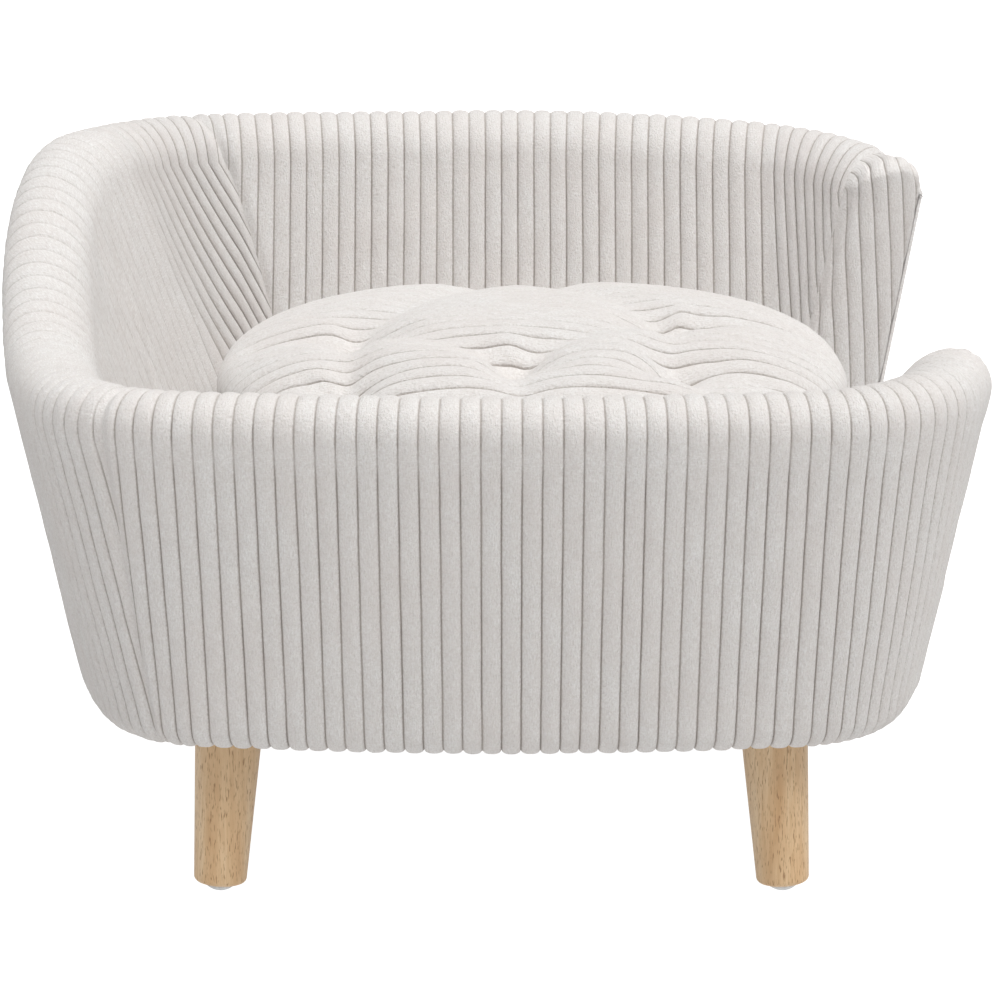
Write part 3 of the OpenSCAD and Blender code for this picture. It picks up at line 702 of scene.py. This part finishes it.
back_laid = wall_cloth(
    "back_cover_cloth", wall_profile, WALL_ROWS, (BACK_END + END_PAD, LEFT_FROM, QUARTER),
    lambda v: BACK_END + END_PAD, rear_seam, 11, ["back_cover"], crushed_rim_and_sheen, long_eased)
wall_cloth(
    "left_cover_cloth", wall_profile, WALL_ROWS, (LEFT_FROM - 75, FRONT_FROM + 45, 2 * QUARTER),
    rear_seam, front_seam, 21, ["left_cover"], crushed_arm_and_sheen, arm_eased, arm_dips)
front_laid = wall_cloth(
    "front_cover_cloth", wall_profile, WALL_ROWS, (FRONT_FROM, FRONT_TO - END_PAD, 3 * QUARTER),
    front_seam, lambda v: FRONT_TO - END_PAD, 31, ["front_cover"], crushed_rim_and_sheen, long_eased)
wall_cloth(
    "sill_cover_cloth", sill_profile, SILL_ROWS,
    (FRONT_TO - END_PAD, SILL_TO + END_PAD, 4 * QUARTER), lambda v: FRONT_TO - END_PAD,
    lambda v: SILL_TO + END_PAD, 41, ["sill_cover"], trodden_edge_and_sheen)


def end_cap(name, s_end, out, seed, nodes, laid):
    """Padded bullnose over an open end of the wall. The inner cloth wraps round it, its wales
    running on, to a pinched seam near the outer edge; a plain strip lies beyond the seam.
    out is the sense in which s leaves the wall."""
    top = float(rim_z(np.array(s_end))) - RIM_R
    z_low, strip, rounded = DECK_H - 24, 8.0, 22.0
    rows = 1 - (1 - np.linspace(0, 1, 72)) ** 1.6
    dense = (1 - np.cos(np.linspace(0, np.pi, 500))) / 2      # 0 on the inner side, 1 on the outer

    def surface(c, r):
        arch = np.sqrt(np.clip(RIM_R ** 2 - (RIM_R - WALL_T * (1 - c)) ** 2, 0, None))
        z = z_low + r * (top + arch - z_low)
        width = np.where(z > top, WALL_T, wall_depth(s_end + 0 * z, z))
        off = -(1 - c) * width
        side = np.minimum(-off * 2.6, width + off)
        round_top = (RIM_R - np.hypot(off + RIM_R, z - top)) * 1.8
        near = np.clip(np.where(z > top, np.minimum(round_top, side), side), 0, rounded)
        # the rim is tucked in under the cover's sewn edge
        tuck = SEAM_DEPTH * np.clip(1 - near / 6, 0, 1) ** 2
        off = -width / 2 + (off + width / 2) * (1 - 2 * tuck / width)
        z = np.where(z > top, top + (z - top) * (1 - tuck / RIM_R), z)
        deep = (END_PAD + 6) * np.sqrt(1 - (1 - near / rounded) ** 2) - 0.3 * tuck
        return wall_point(s_end + out * deep, off, z), off, near

    s, across = laid
    tables, seam = [], []
    for r in rows:
        P, off, _ = surface(dense, r)
        run = np.concatenate([[0], np.cumsum(np.linalg.norm(np.diff(P, axis=0), axis=1))])
        z_edge = z_low + r * (top - z_low)
        v_edge = 4 + np.clip((top - z_edge) / (top - DECK_H), 0, 1)
        shift = np.interp(s_end, s, across(v_edge)) - np.interp(s_end, s, across(4.0))
        tables.append(out * (np.interp(s_end, s, across(4.0)) + 0.5 * shift) + run)
        seam.append(np.interp(-strip, off, dense))
    seam = np.array(seam)
    S, cols, real = lay_wales(dense, tables, 0 * seam, seam)
    beyond = seam[:, None] + (1 - seam[:, None]) * np.array([0.12, 0.3, 0.55, 0.8, 1.0])[None]
    S = np.concatenate([S, beyond], 1)
    cols = np.concatenate([cols, cols.shape[1] + np.arange(5)[None] + 0 * beyond.astype(int)], 1)
    real = np.concatenate([real, 0.5 + 0 * beyond], 1)
    R = rows[:, None] + 0 * S
    P, off, near = surface(S, R)
    h = 1e-3
    N = unit_cross(surface(np.clip(S + h, 0, 1), R)[0] - surface(np.clip(S - h, 0, 1), R)[0],
                   surface(S, np.clip(R + h, 0, 1))[0] - surface(S, np.clip(R - h, 0, 1))[0]) * -out
    d, wander = pile_depth(real, P[..., 2], 0.2 + 0 * S, seed)
    d = np.where(S > seam[:, None] + 1e-6, -0.4, d) * np.clip(near / 1.5, 0, 1)
    d -= 2.8 * np.exp(-((off + strip) / 1.6) ** 2) * np.clip(near / 3, 0, 1)
    P = P + N * d[..., None]
    # where the seam's shared column meets the strip
    last = cols[:, :-5].max(1)
    ids = np.arange(len(rows))[:, None] * S.shape[1] + cols
    joined = np.concatenate([(np.arange(len(rows)) * S.shape[1] + last)[:, None], ids[:, -5:]], 1)
    faces = grid_faces(ids[:, :-5], flip=out < 0) + grid_faces(joined, flip=out < 0)
    # pile a little pressed over the end caps: slightly lighter streaks, a painted sheen
    pile = np.stack([real + wander, P[..., 2], 0.2 + 0 * S], -1).reshape(-1, 3)
    points, faces, pile = used_only(P.reshape(-1, 3), faces, pile)
    obj = new_piece(name, points, faces, corduroy, "bed", nodes, pile)


end_cap(
    "back_end_cloth", BACK_END + END_PAD, -1, 51, ["back_end_cover", "back_end_foam"], back_laid)
end_cap(
    "front_end_cloth", FRONT_TO - END_PAD, 1, 61, ["front_end_cover", "front_end_foam"], front_laid)


# ---- deck cloth under the cushion ----
def deck():
    around = np.linspace(0, 4 * QUARTER, 181)[:-1]
    edge = wall_point(around, -wall_depth(around, DECK_H) + 2.0, DECK_H + 0 * around)
    centre = np.array([0.0, 0.0, DECK_H])
    rings = np.linspace(1, 0.04, 26)
    P = centre + (edge - centre)[None] * rings[:, None, None]
    P[..., 2] += -0.5 * np.clip((rings[:, None] - 0.93) / 0.07, 0, 1) ** 2
    unevenness = smooth_noise(P[..., 0] / 22, P[..., 1] / 22, 71)
    P[..., 2] += 0.35 * unevenness * np.clip((1 - rings[:, None]) * 6, 0, 1) - 0.5
    ids = np.arange(P.shape[0] * P.shape[1]).reshape(P.shape[:2])
    ids = np.concatenate([ids, ids[:, :1]], 1)
    faces = grid_faces(ids)
    points = np.concatenate([P.reshape(-1, 3), centre[None] - [0, 0, 0.5]])
    last = ids[-1]
    faces += [[int(last[i]), int(last[i + 1]), len(points) - 1] for i in range(len(last) - 1)]
    obj = new_piece("deck_cloth_sheet", points, faces, lining, "bed", ["deck_cloth"])
    ring = P[0]
    area = abs(
        np.sum(ring[:, 0] * np.roll(ring[:, 1], -1) - ring[:, 1] * np.roll(ring[:, 0], -1))) / 2


deck()

# ---- the loose tufted cushion ----
CUSHION_X, CUSHION_Y, CUSHION_A, CUSHION_B = 18.05, 3.0, 187.0, 164.7
CUSHION_LOW, CUSHION_SEAM, CUSHION_RISE, CUSHION_POWER = DECK_H + 0.5, 274.0, 44.0, 2.5
TUFTS = np.array([[-88, -35], [8, 128], [9, -95], [100, -10], [100, -100], [-87, -122]], float)
EDGES = np.array([[-178, -15], [205, 15], [22, 172], [12, -162], [190, -112], [-160, -125]], float)
VALLEYS = [
    (0, 1), (1, 3), (0, 2), (2, 3), (3, 4), (0, 5), (0, 6), (3, 7), (1, 8), (2, 9), (4, 10),
    (5, 11)]


def half_width(y):
    return CUSHION_A * np.clip(
        1 - np.abs(y / CUSHION_B) ** CUSHION_POWER, 0.004, 1) ** (1 / CUSHION_POWER)


def edge_share(x, y):
    """0 at the cushion's middle and 1 on its rounded outline."""
    along, over = np.abs(x / CUSHION_A), np.abs(y / CUSHION_B)
    return (along ** CUSHION_POWER + over ** CUSHION_POWER) ** (1 / CUSHION_POWER)


def tuft_form(x, y):
    """How far the tufts and the folds between them draw the top down, in body coordinates."""
    down = 0 * x
    for i, (tx, ty) in enumerate(TUFTS):
        r, a = np.hypot(x - tx, y - ty), np.arctan2(y - ty, x - tx)
        pull = 0.5 if i == len(TUFTS) - 1 else 1.0
        down += pull * (9 * np.exp(-(r / 27) ** 2) + 6 * np.exp(-(r / 10) ** 2))
        down += pull * 1.6 * np.cos((4 + i % 2) * a + i) * np.exp(-((r - 24) / 13) ** 2)
    ends = np.concatenate([TUFTS, EDGES])
    folds = 0 * x
    for i, j in VALLEYS:
        p, q = ends[i], ends[j]
        d = q - p
        t = np.clip(((x - p[0]) * d[0] + (y - p[1]) * d[1]) / (d @ d), 0, 1)
        off = np.hypot(x - p[0] - t * d[0], y - p[1] - t * d[1])
        shape = (1 - 0.4 * np.sin(np.pi * t)) if j < len(TUFTS) else 1 - 0.55 * t
        folds = np.maximum(folds, 9 * np.exp(-(off / 16) ** 1.6) * shape)
    return down + folds


def cushion_top(u, y):
    x = u * half_width(y)
    rho = edge_share(x, y)
    rho = np.clip(rho, 0, 1)
    rise = CUSHION_RISE * (1 - rho ** 3) ** 0.5
    down = tuft_form(x + CUSHION_X, y + CUSHION_Y) * np.clip((1 - rho) * 9, 0, 1)
    return np.stack([x + CUSHION_X, y + CUSHION_Y, CUSHION_SEAM + rise - down], -1)


def cushion_bottom(u, y):
    x = u * half_width(y)
    rho = edge_share(x, y)
    rho = np.clip(rho, 1e-6, 1)
    turn = 0.72
    f = np.clip((rho - turn) / (1 - turn), 0, 1)
    inset = 39 * (1 - f) ** 1.25
    scale = np.where(rho > turn, (1 - inset / CUSHION_B) / rho, (1 - 39 / CUSHION_B) / turn)
    z = CUSHION_LOW + (CUSHION_SEAM - CUSHION_LOW) * (
        1 - np.sqrt(np.clip(1 - f ** 1.6, 0, 1))) ** 0.75
    return np.stack([x * scale + CUSHION_X, y * scale + CUSHION_Y, z], -1)


def sim_cushion(top, bottom):
    """Inflates the sewn case a little, held at the tufts, and returns how far each point moved."""
    rows, cols = top.shape[:2]
    ids_top = np.arange(rows * cols).reshape(rows, cols)
    ids_low = ids_top + rows * cols
    ids_low[0], ids_low[-1] = ids_top[0], ids_top[-1]
    ids_low[:, 0], ids_low[:, -1] = ids_top[:, 0], ids_top[:, -1]
    points = np.concatenate([top.reshape(-1, 3), bottom.reshape(-1, 3)])
    faces = grid_faces(ids_top) + grid_faces(ids_low, flip=True)
    small, faces, number = used_only(points, faces, np.arange(len(points)))
    mesh = bpy.data.meshes.new("cushion_sim")
    mesh.from_pydata((small / 1000).tolist(), [], faces)
    obj = bpy.data.objects.new("cushion_sim", mesh)
    scene.collection.objects.link(obj)
    pins = obj.vertex_groups.new(name="held")
    near = np.min(
        np.hypot(small[:, None, 0] - TUFTS[None, :, 0], small[:, None, 1] - TUFTS[None, :, 1]), 1)
    held = (small[:, 2] < CUSHION_LOW + 1.0) | ((near < 7) & (small[:, 2] > CUSHION_SEAM - 12))
    pins.add(np.nonzero(held)[0].tolist(), 1.0, "REPLACE")
    cloth = obj.modifiers.new("cloth", "CLOTH")
    c = cloth.settings
    frames = 20
    c.quality, c.mass = 6, 0.3
    c.tension_stiffness = c.compression_stiffness = 18
    c.shear_stiffness, c.bending_stiffness = 8, 1.2
    c.use_pressure, c.uniform_pressure_force = True, 4.0
    c.effector_weights.gravity = 0
    c.vertex_group_mass = "held"
    cloth.point_cache.frame_start, cloth.point_cache.frame_end = 1, frames
    for f in range(1, frames + 1):
        scene.frame_set(f)
    eva = obj.evaluated_get(bpy.context.evaluated_depsgraph_get())
    out = np.zeros(len(small) * 3, np.float32)
    eva.data.vertices.foreach_get("co", out)
    move = out.reshape(-1, 3) * 1000 - small
    size = np.linalg.norm(move, axis=1, keepdims=True)
    move *= np.minimum(1, MAX_SWELL / np.maximum(size, 1e-6))
    scene.frame_set(1)
    bpy.data.objects.remove(obj)
    bpy.data.meshes.remove(mesh)
    full = np.zeros_like(points)
    full[number] = move
    full_low = full[ids_low.ravel()].reshape(rows, cols, 3)
    return full[ids_top.ravel()].reshape(rows, cols, 3), full_low


def bilinear(values, rows, cols, fine_rows, fine_cols):
    """Samples a coarse grid of values at a finer grid's places, smoothly."""
    by_row = np.stack([[np.interp(fine_rows, rows, values[:, c, k]) for c in range(len(cols))]
                       for k in range(3)], -1)
    return np.stack([[np.interp(fine_cols, cols, by_row[:, r, k]) for r in range(len(fine_rows))]
                     for k in range(3)], -1)


def softened(values, times=2):
    for _ in range(times):
        p = np.pad(values, ((1, 1), (1, 1), (0, 0)), "edge")
        values = (p[:-2, 1:-1] + p[2:, 1:-1] + p[1:-1, :-2] + p[1:-1, 2:] + 4 * p[1:-1, 1:-1]) / 8
    return values


def cushion():
    coarse_y = CUSHION_B * np.sin(np.linspace(-np.pi / 2, np.pi / 2, 46))
    coarse_u = np.sin(np.linspace(-np.pi / 2, np.pi / 2, 50))
    U, Y = np.meshgrid(coarse_u, coarse_y)
    top_c, low_c = cushion_top(U, Y), cushion_bottom(U, Y)
    top_m, low_m = sim_cushion(top_c, low_c)
    top_m, low_m = softened(top_m), softened(low_m)
    n = int(CUSHION_B // PITCH) + 1
    phase = (np.arange(-n, n)[:, None] + WALE_SAMPLES[None]).ravel()
    y_rows = phase * PITCH
    y_rows = y_rows[np.abs(y_rows) < CUSHION_B - 0.4]
    ends = CUSHION_B * np.array([0.9975, 0.9992, 1.0])
    y_rows = np.unique(np.concatenate([-ends, y_rows, ends]))
    u_cols = np.sin(np.linspace(-np.pi / 2, np.pi / 2, 150))
    U, Y = np.meshgrid(u_cols, y_rows)
    result = []
    for build, move, name, sign, node_names in (
            (cushion_top, top_m, "cushion_top_cloth", 1, ["cushion_top_panel", "cushion_core"]),
            (cushion_bottom, low_m, "cushion_bottom_cloth", -1, ["cushion_bottom_panel"])):
        P = build(U, Y) + bilinear(move, coarse_y, coarse_u, y_rows, u_cols)
        du, dy = np.gradient(P, axis=1), np.gradient(P, axis=0)
        N = np.cross(du, dy) * sign
        N /= np.linalg.norm(N, axis=-1, keepdims=True) + 1e-12
        X = P[..., 0]
        edge = np.clip((1 - np.abs(U)) * 14, 0, 1) * np.clip((1 - np.abs(Y / CUSHION_B)) * 40, 0, 1)
        wander = 0.02 * smooth_noise(Y / 12, X / 35, 81)
        bar = wale_height(Y / PITCH + wander)
        lift = 0.3 * smooth_noise(Y / 5, X / 12, 82)
        d = edge * (WALE_H * 0.9 * bar + 0.4 * lift)
        if sign < 0:
            d = np.minimum(d, 0) * np.clip((P[..., 2] - CUSHION_LOW) / 3, 0, 1)
        P = P + N * d[..., None]
        P[..., 2] = np.maximum(P[..., 2], CUSHION_LOW)
        ids = np.arange(P.shape[0] * P.shape[1]).reshape(P.shape[:2])
        # the cushion's ends get the painted sheen: lighter streaks and fainter painted groove shade
        crush_and_sheen = np.clip((np.abs(U) - 0.8) / 0.2, 0, 1) * 0.8
        pile = np.stack([Y / PITCH + wander, X, crush_and_sheen], -1).reshape(-1, 3)
        obj = new_piece(name, P.reshape(-1, 3), grid_faces(ids, flip=sign < 0), corduroy, "cushion",
                        node_names, pile)
        result.append(P)
    return result[0]


top_grid = cushion()


def ties():
    """Twisted twine through the cushion at each tuft, with a flat knot in the hollow."""
    points, faces = [], []
    for tx, ty in TUFTS[:-1]:
        near = np.hypot(top_grid[..., 0] - tx, top_grid[..., 1] - ty)
        z_top = top_grid[..., 2][near < 5].min() + 0.6 if (near < 5).any() else CUSHION_SEAM
        levels = np.linspace(CUSHION_LOW + 0.4, z_top, 50)
        ang = np.linspace(0, 2 * np.pi, 13)[:-1]
        base = len(points)
        for z in levels:
            lobes = 0.85 + 0.15 * np.cos(3 * (ang + z / 1.6))
            r = np.where(z > z_top - 1.6, 2.2, 1.0) * lobes
            points += np.stack(
                [tx + r * np.cos(ang), ty + r * np.sin(ang), z + 0 * ang], -1).tolist()
        ids = base + np.arange(50 * 12).reshape(50, 12)
        faces += grid_faces(np.concatenate([ids, ids[:, :1]], 1))
        faces += [ids[0][::-1].tolist(), ids[-1].tolist()]
    new_piece(
        "tuft_twine", np.array(points), faces, twine, "cushion", ["cushion_tuft_ties"])


ties()

# ---- floor, light and camera ----
bpy.ops.mesh.primitive_plane_add(size=60, location=(0, 0, 0))
floor = bpy.context.object
floor.name = "floor"
floor_m, ft = new_material("matt_white_floor")
# the floor glows like a lit studio sweep: white to the camera, a dimmer fill for the bed
seen_floor = add(ft, "ShaderNodeLightPath").outputs["Is Camera Ray"]
glow = add(ft, MATH, {0: seen_floor, 1: 0.38, 2: 0.65}, operation="MULTIPLY_ADD")
floor_b = add(ft, PRINCIPLED, {
    "Base Color": linear("#8C8C8C"), "Roughness": 0.95, "Specular IOR Level": 0.1,
    "Emission Color": (1, 1, 1, 1), "Emission Strength": glow})
add(ft, SURFACE_OUT, {"Surface": floor_b})
floor.data.materials.append(floor_m)

world = bpy.data.worlds.new("studio")
scene.world = world
world.use_nodes = True
wt = world.node_tree
wt.nodes.clear()
path = add(wt, "ShaderNodeLightPath")
room = add(wt, "ShaderNodeBackground", {"Color": (1, 1, 1, 1), "Strength": 0.27})
seen = add(wt, "ShaderNodeBackground", {"Color": (1, 1, 1, 1), "Strength": 1.0})
both = add(wt, "ShaderNodeMixShader", {0: path.outputs["Is Camera Ray"], 1: room, 2: seen})
add(wt, "ShaderNodeOutputWorld", {"Surface": both})

sky = bpy.data.lights.new("broad_ceiling_light", "SUN")
sky.energy, sky.angle = 3.45, np.radians(75)
sky_obj = bpy.data.objects.new("broad_ceiling_light", sky)
scene.collection.objects.link(sky_obj)
sky_obj.rotation_euler = (np.radians(11), np.radians(13), 0)

CAMERA_BACK, CAMERA_UP, AIM_UP = 1.9928, 0.7006, 0.1979
camera = bpy.data.objects.new("camera", bpy.data.cameras.new("camera"))
scene.collection.objects.link(camera)
camera.location = (CENTRE[0], CENTRE[1] - CAMERA_BACK, CAMERA_UP)
camera.rotation_euler = (np.pi / 2 - np.arctan2(CAMERA_UP - AIM_UP, CAMERA_BACK), 0, 0)
camera.data.lens, camera.data.sensor_width, camera.data.shift_x = 122.75, 36, -0.0015
camera.data.clip_end = 100
scene.camera = camera
scene.view_settings.view_transform = "Standard"
